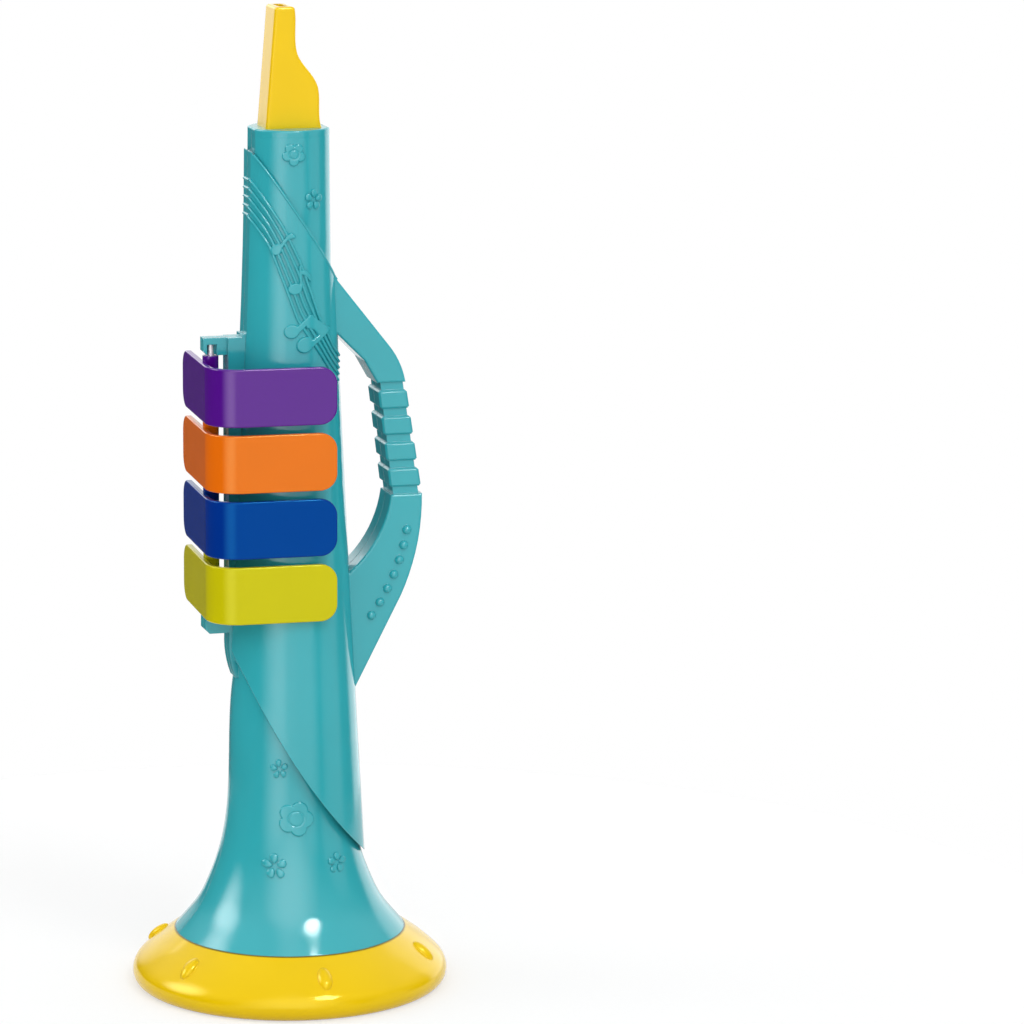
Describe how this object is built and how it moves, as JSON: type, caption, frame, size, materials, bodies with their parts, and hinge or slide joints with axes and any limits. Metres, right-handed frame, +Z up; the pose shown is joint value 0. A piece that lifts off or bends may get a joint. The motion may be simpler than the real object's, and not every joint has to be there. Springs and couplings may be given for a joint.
{
  "type": "toy trumpet",
  "caption": "Upright toy trumpet with a flared bell on a ring foot, a beak mouthpiece, a loop handle and a column of sprung keys.",
  "frame": {"origin": "centre of the bell ring's rest face", "axes": "+Z up the tube to the mouthpiece, +X to the handle, -Y to the front, where the key plates are"},
  "size_m": [0.0934, 0.0934, 0.29],
  "materials": {
    "teal_plastic": "moulded, glossy",
    "yellow_plastic": "moulded, glossy",
    "purple_plastic": "moulded, glossy",
    "orange_plastic": "moulded, glossy",
    "blue_plastic": "moulded, glossy",
    "lime_plastic": "moulded, glossy",
    "cream_plastic": "moulded, satin",
    "pad_rubber": "matte, soft",
    "reed_brass": "rolled, bright",
    "rod_steel": "drawn, bright",
    "spring_steel": "drawn wire",
    "screw_steel": "zinc plated"
  },
  "bodies": {
    "trumpet": {"front_shell": "teal_plastic", "back_shell": "teal_plastic", "bell_ring": "yellow_plastic", "mouthpiece": "yellow_plastic", "key_rod": "rod_steel", "reed_box": "cream_plastic", "reed_plate": "reed_brass", "reed_tongues": "reed_brass", "reed_rivets": "reed_brass", "reed_gasket": "pad_rubber", "wind_cover": "cream_plastic", "port_seals": "pad_rubber", "unit_screws": "screw_steel", "shell_screws": "screw_steel"},
    "key_purple": {"key_purple": "purple_plastic", "pad_purple": "pad_rubber", "spring_purple": "spring_steel"},
    "key_orange": {"key_orange": "orange_plastic", "pad_orange": "pad_rubber", "spring_orange": "spring_steel"},
    "key_blue": {"key_blue": "blue_plastic", "pad_blue": "pad_rubber", "spring_blue": "spring_steel"},
    "key_lime": {"key_lime": "lime_plastic", "pad_lime": "pad_rubber", "spring_lime": "spring_steel"}
  },
  "joints": [
    {"name": "purple_key_hinge", "type": "hinge", "parent": "trumpet", "child": "key_purple", "pos_m": [-0.0234, 0, 0.17935], "axis": [0, 0, 1], "range_deg": [-18, 0], "stiffness_Nm_per_rad": 0.02, "springref_deg": 20.05, "deforming": ["spring_purple"]},
    {"name": "orange_key_hinge", "type": "hinge", "parent": "trumpet", "child": "key_orange", "pos_m": [-0.0234, 0, 0.16002], "axis": [0, 0, 1], "range_deg": [-18, 0], "stiffness_Nm_per_rad": 0.02, "springref_deg": 20.05, "deforming": ["spring_orange"]},
    {"name": "blue_key_hinge", "type": "hinge", "parent": "trumpet", "child": "key_blue", "pos_m": [-0.0234, 0, 0.14069], "axis": [0, 0, 1], "range_deg": [-18, 0], "stiffness_Nm_per_rad": 0.02, "springref_deg": 20.05, "deforming": ["spring_blue"]},
    {"name": "lime_key_hinge", "type": "hinge", "parent": "trumpet", "child": "key_lime", "pos_m": [-0.0234, 0, 0.12136], "axis": [0, 0, 1], "range_deg": [-18, 0], "stiffness_Nm_per_rad": 0.02, "springref_deg": 20.05, "deforming": ["spring_lime"]}
  ]
}
